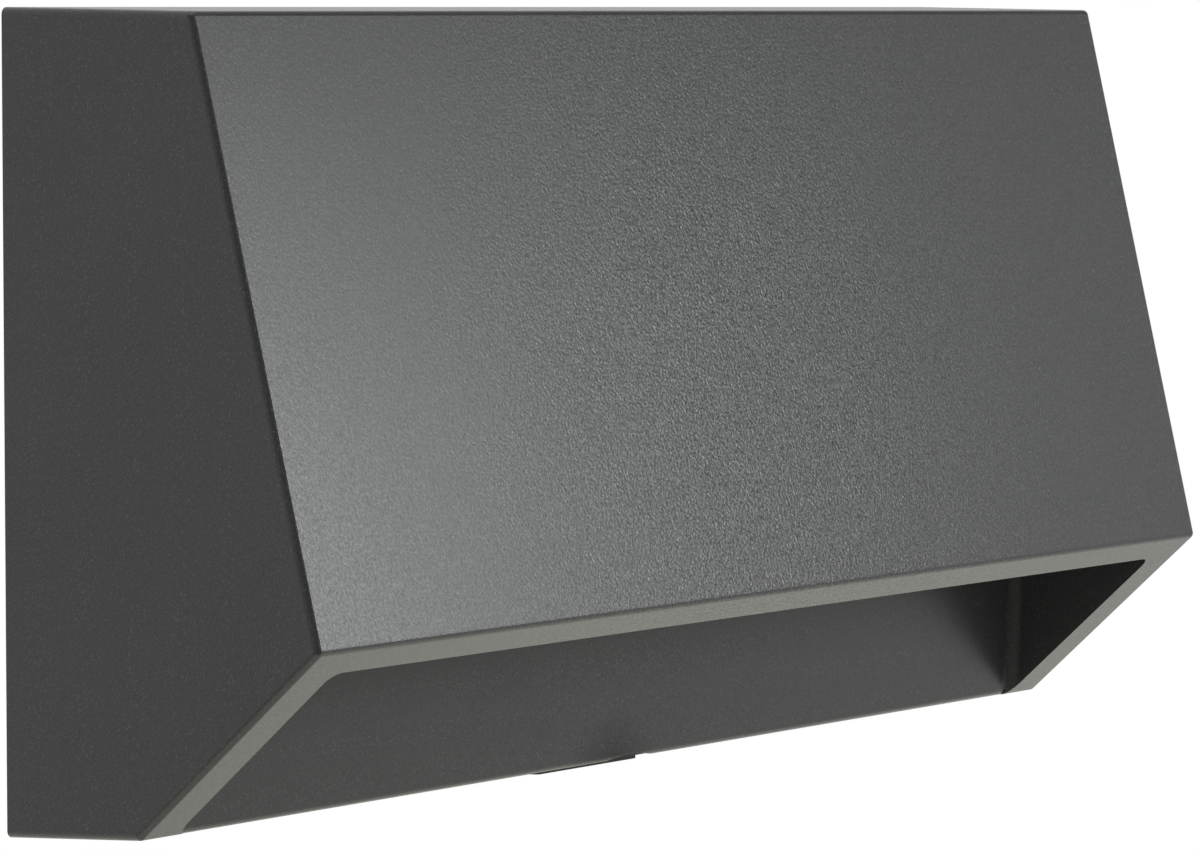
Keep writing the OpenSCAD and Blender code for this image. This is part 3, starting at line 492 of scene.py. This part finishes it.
stainless = turned_steel("stainless_steel", stainless_bright, stainless_shade, stainless_roughness)
dress(soft_sheet("silicone_seal", seal_grey, seal_shade), "diffuser_gasket")
dress(bright_plastic("opal_polycarbonate", opal_white, opal_warm, opal_roughness), "diffuser")
dress(coat, "diffuser_frame")
dress(stainless, "frame_screws")


# Leads
# Silicone-insulated leads: brown and blue to the terminals, green with a yellow stripe
# to the earth points, and a red and black pair down to the LED board.
lead_colours = {
    "live_lead": ((0.17, 0.07, 0.03), (0.21, 0.09, 0.04)),
    "neutral_lead": ((0.03, 0.1, 0.38), (0.045, 0.14, 0.46)),
    "led_lead_positive": ((0.45, 0.015, 0.015), (0.55, 0.03, 0.025)),
    "led_lead_negative": ((0.012, 0.012, 0.012), (0.025, 0.025, 0.025)),
}
lead_drift_width = 0.008
earth_green = (0.05, 0.28, 0.04)
earth_yellow = (0.75, 0.62, 0.03)
stripe_edge = (-0.45, -0.35)
drawn_mark_width = 0.0006
lead_roughness = (0.34, 0.46)
lead_relief = 0.00001


def lead_skin(name, colour):
    """Extruded insulation: a soft gloss with marks drawn along it."""
    finish, tree, shader = start_finish(name)
    drawn = mottle(tree, drawn_mark_width)
    tree.links.new(colour(tree), shader.inputs["Base Color"])
    uneven_gloss(tree, shader, drawn, lead_roughness)
    raise_grain(tree, shader, drawn, lead_relief)
    return finish


def plain_colour(dark, light):
    """Insulation of one colour, with a little drift along it."""
    return lambda tree: blend_colours(tree, mottle(tree, lead_drift_width), dark, light)


def striped_colour(tree):
    """Green on the upper side and yellow on the lower side of the lead."""
    surface = tree.nodes.new("ShaderNodeNewGeometry")
    parts = tree.nodes.new("ShaderNodeSeparateXYZ")
    tree.links.new(surface.outputs["Normal"], parts.inputs["Vector"])
    stripe = spread(tree, parts.outputs["Z"], *stripe_edge, 1.0, 0.0)
    return blend_colours(tree, stripe, earth_green, earth_yellow)


for lead, (dark, light) in lead_colours.items():
    dress(lead_skin(lead + "_skin", plain_colour(dark, light)), lead)
dress(lead_skin("earth_lead_skin", striped_colour), "plate_earth_lead", "housing_earth_lead")


# Rear gasket and locking screw
# A strip of black closed-cell sponge in the housing's rear rebate seals it against the wall.
# One countersunk stainless screw from below holds the housing on the plate's bottom tab.
sponge_black = (0.014, 0.014, 0.014)
sponge_grey = (0.04, 0.04, 0.04)
cell_width = 0.0007
cell_shade_fade = (0.1, 0.6)
cell_gloss_fade = (0.0, 0.8)
cell_roughness = (0.95, 0.75)
cell_relief = 0.00012


def closed_cell_sponge():
    """Matt sponge whose cut face shows its cells, with painted shade in their hollows."""
    finish, tree, shader = start_finish("closed_cell_sponge")
    cells = tree.nodes.new("ShaderNodeTexVoronoi")
    cells.inputs["Scale"].default_value = 1.0 / cell_width
    tree.links.new(place_on_part(tree), cells.inputs["Vector"])
    hollow = cells.outputs["Distance"]
    # Painted shade: each cell is darker in its hollow and paler on its walls
    drifting_tone(tree, shader, hollow, sponge_black, sponge_grey, cell_shade_fade)
    gloss = spread(tree, hollow, *cell_gloss_fade, *cell_roughness)
    tree.links.new(gloss, shader.inputs["Roughness"])
    raise_grain(tree, shader, hollow, cell_relief)
    return finish


dress(closed_cell_sponge(), "rear_gasket")
dress(stainless, "locking_screw")


# Floor
# A plain pale floor well below the light, which fades into the white surroundings. The shiny coat
# mirrors a glow in its place: warm and bright near the light, and dark towards the front left.
floor_level = -0.32
floor_radius = 9.0
floor_pale = (0.84, 0.82, 0.76)
floor_cloud = (0.86, 0.84, 0.785)
floor_cloud_width = 0.6
floor_roughness = 0.7
seen_fade = (0.55, 1.3)
mirrored_fade = (0.05, 0.2)
plain_white = (1.0, 1.0, 1.0)
mirrored_warm = (1.0, 0.985, 0.88)
glow_fade = (0.25, 1.2)
near_glow = 1.4
far_glow = 0.88
dark_floor_side = (-0.64, -0.77, 0.0)
dark_floor_edge = (0.25, 0.55)
dark_floor_start = (0.36, 0.56)
dark_side_glow = 0.08


def looked_at_directly(tree):
    """1 for what the camera sees, straight or through a clear piece, and 0 for any other ray."""
    path = tree.nodes.new("ShaderNodeLightPath")
    return reckon(tree, "MAXIMUM", path.outputs["Is Camera Ray"], path.outputs["Is Transmission Ray"])


def mirrored(tree):
    """1 for what a shiny surface reflects, and 0 for any other ray."""
    return tree.nodes.new("ShaderNodeLightPath").outputs["Is Glossy Ray"]


def towards(tree, direction, side):
    """How far a direction reaches towards one side of the room."""
    facing = tree.nodes.new("ShaderNodeVectorMath")
    facing.operation = "DOT_PRODUCT"
    tree.links.new(direction, facing.inputs[0])
    facing.inputs[1].default_value = side
    return facing.outputs["Value"]


def floor_glow(tree, spot, distance):
    """The floor's glow: plain white as seen directly, with its own tint and level as mirrored."""
    glow = tree.nodes.new("ShaderNodeEmission")
    nearness = spread(tree, distance, *glow_fade, 1.0, 0.0)
    warmth = reckon(tree, "MULTIPLY", nearness, mirrored(tree))
    tree.links.new(blend_colours(tree, warmth, plain_white, mirrored_warm), glow.inputs["Color"])

    turned = reckon(tree, "DIVIDE", towards(tree, spot, dark_floor_side), distance)
    on_dark_side = spread(tree, turned, *dark_floor_edge, 0.0, 1.0)
    past_start = spread(tree, distance, *dark_floor_start, 0.0, 1.0)
    darkness = reckon(tree, "MULTIPLY", on_dark_side, past_start)
    side = spread(tree, darkness, 0.0, 1.0, 1.0, dark_side_glow)
    level = reckon(tree, "MULTIPLY", spread(tree, nearness, 0.0, 1.0, far_glow, near_glow), side)
    extra = reckon(tree, "MULTIPLY", mirrored(tree), reckon(tree, "SUBTRACT", level, 1.0))
    tree.links.new(reckon(tree, "ADD", extra, 1.0), glow.inputs["Strength"])
    return glow


def floor_finish():
    """Pale floor that passes into its own glow further out, and sooner where it is mirrored."""
    finish, tree, shader = start_finish("pale_floor")
    clouds = mottle(tree, floor_cloud_width)
    tree.links.new(blend_colours(tree, clouds, floor_pale, floor_cloud), shader.inputs["Base Color"])
    shader.inputs["Roughness"].default_value = floor_roughness
    spot = place_on_part(tree, (1.0, 1.0, 0.0))
    distance = length_of(tree, spot)
    far_seen = spread(tree, distance, *seen_fade, 0.0, 1.0)
    far_mirrored = spread(tree, distance, *mirrored_fade, 0.0, 1.0)
    seen = reckon(tree, "MULTIPLY", far_seen, looked_at_directly(tree))
    reflected = reckon(tree, "MULTIPLY", far_mirrored, mirrored(tree))
    mix = tree.nodes.new("ShaderNodeMixShader")
    tree.links.new(reckon(tree, "MAXIMUM", seen, reflected), mix.inputs["Fac"])
    tree.links.new(shader.outputs["BSDF"], mix.inputs[1])
    tree.links.new(floor_glow(tree, spot, distance).outputs["Emission"], mix.inputs[2])
    output = [n for n in tree.nodes if n.type == "OUTPUT_MATERIAL"][0]
    tree.links.new(mix.outputs["Shader"], output.inputs["Surface"])
    return finish


floor_mesh = bpy.data.meshes.new("floor")
floor_signs = ((-1, -1), (1, -1), (1, 1), (-1, 1))
floor_corners = [(x * floor_radius, y * floor_radius, floor_level) for x, y in floor_signs]
floor_mesh.from_pydata(floor_corners, [], [(0, 1, 2, 3)])
floor_mesh.materials.append(floor_finish())
floor = bpy.data.objects.new("floor", floor_mesh)
bpy.context.scene.collection.objects.link(floor)


# Surroundings and lamps
# A white room. Reflections see its front dark, and its ceiling dark except towards the wall.
# A small soft lamp stands at the front right, and a broad one hangs overhead.
room_light = 0.5
dark_side = (0.0, -1.0, 0.0)
front_fade = (0.0, 0.85)
ceiling_fade = (0.22, 0.5)
ceiling_glow = 0.2
wall_fade = (0.0, 0.4)
lamp_tint = (0.97, 1.0, 0.98)


def white_room():
    """White to the camera, an even light on every surface, and partly dark in reflections."""
    world = bpy.data.worlds.new("white_room")
    bpy.context.scene.world = world
    world.use_nodes = True
    tree = world.node_tree
    tree.nodes.clear()
    back = tree.nodes.new("ShaderNodeBackground")
    output = tree.nodes.new("ShaderNodeOutputWorld")
    tree.links.new(back.outputs["Background"], output.inputs["Surface"])
    back.inputs["Color"].default_value = (*plain_white, 1.0)

    place = tree.nodes.new("ShaderNodeTexCoord")
    parts = tree.nodes.new("ShaderNodeSeparateXYZ")
    tree.links.new(place.outputs["Generated"], parts.inputs["Vector"])
    forward = towards(tree, place.outputs["Generated"], dark_side)
    around = spread(tree, forward, *front_fade, 1.0, dark_side_glow)
    ceiling = spread(tree, parts.outputs["Z"], *ceiling_fade, 1.0, ceiling_glow)
    wall_side = spread(tree, parts.outputs["Y"], *wall_fade, 0.0, 1.0)
    room_mirrored = reckon(tree, "MULTIPLY", around, reckon(tree, "MAXIMUM", ceiling, wall_side))

    difference = reckon(tree, "SUBTRACT", room_mirrored, room_light)
    indirect = reckon(tree, "ADD", reckon(tree, "MULTIPLY", mirrored(tree), difference), room_light)
    strength = reckon(tree, "MAXIMUM", looked_at_directly(tree), indirect)
    tree.links.new(strength, back.inputs["Strength"])


def soft_lamp(name, turn, height, distance, width, watts):
    """A square lamp that faces the light, turned from the front to the right and raised, in degrees."""
    lamp = bpy.data.lights.new(name, "AREA")
    lamp.size = width
    lamp.energy = watts
    lamp.color = lamp_tint
    around = math.radians(turn)
    above = math.radians(height)
    level = Vector((math.sin(around), -math.cos(around), 0.0))
    outward = math.cos(above) * level + math.sin(above) * Vector((0.0, 0.0, 1.0))
    holder = bpy.data.objects.new(name, lamp)
    holder.location = distance * outward
    holder.rotation_euler = (-outward).to_track_quat("-Z", "Y").to_euler()
    bpy.context.scene.collection.objects.link(holder)


white_room()
soft_lamp("front_right_lamp", turn=39.0, height=12.0, distance=1.9, width=0.38, watts=10.3)
soft_lamp("overhead_lamp", turn=0.0, height=80.0, distance=1.7, width=2.2, watts=20.0)


# Camera
# It stands to the left of the front, at about the height of the light, with a long lens.
camera_place = Vector((-0.78073, -0.64162, 0.04227))
camera_turn = math.radians(51.53)
camera_tilt = math.radians(-4.359)
camera_roll = math.radians(0.059)
camera_lens = 166.98
sensor_width = 36.0
nearest_seen = 0.01

camera_data = bpy.data.cameras.new("photo_camera")
camera_data.lens = camera_lens
camera_data.sensor_width = sensor_width
camera_data.sensor_fit = "HORIZONTAL"
camera_data.clip_start = nearest_seen
camera = bpy.data.objects.new("photo_camera", camera_data)
ahead = Vector((
    math.sin(camera_turn) * math.cos(camera_tilt),
    math.cos(camera_turn) * math.cos(camera_tilt),
    math.sin(camera_tilt),
))
level_right = Vector((math.cos(camera_turn), -math.sin(camera_turn), 0.0))
level_up = level_right.cross(ahead)
right = math.cos(camera_roll) * level_right + math.sin(camera_roll) * level_up
up = right.cross(ahead)
camera_axes = Matrix((right, up, -ahead)).transposed().to_4x4()
camera.matrix_world = Matrix.Translation(camera_place) @ camera_axes
bpy.context.scene.collection.objects.link(camera)
bpy.context.scene.camera = camera
bpy.context.scene.view_settings.view_transform = "Standard"
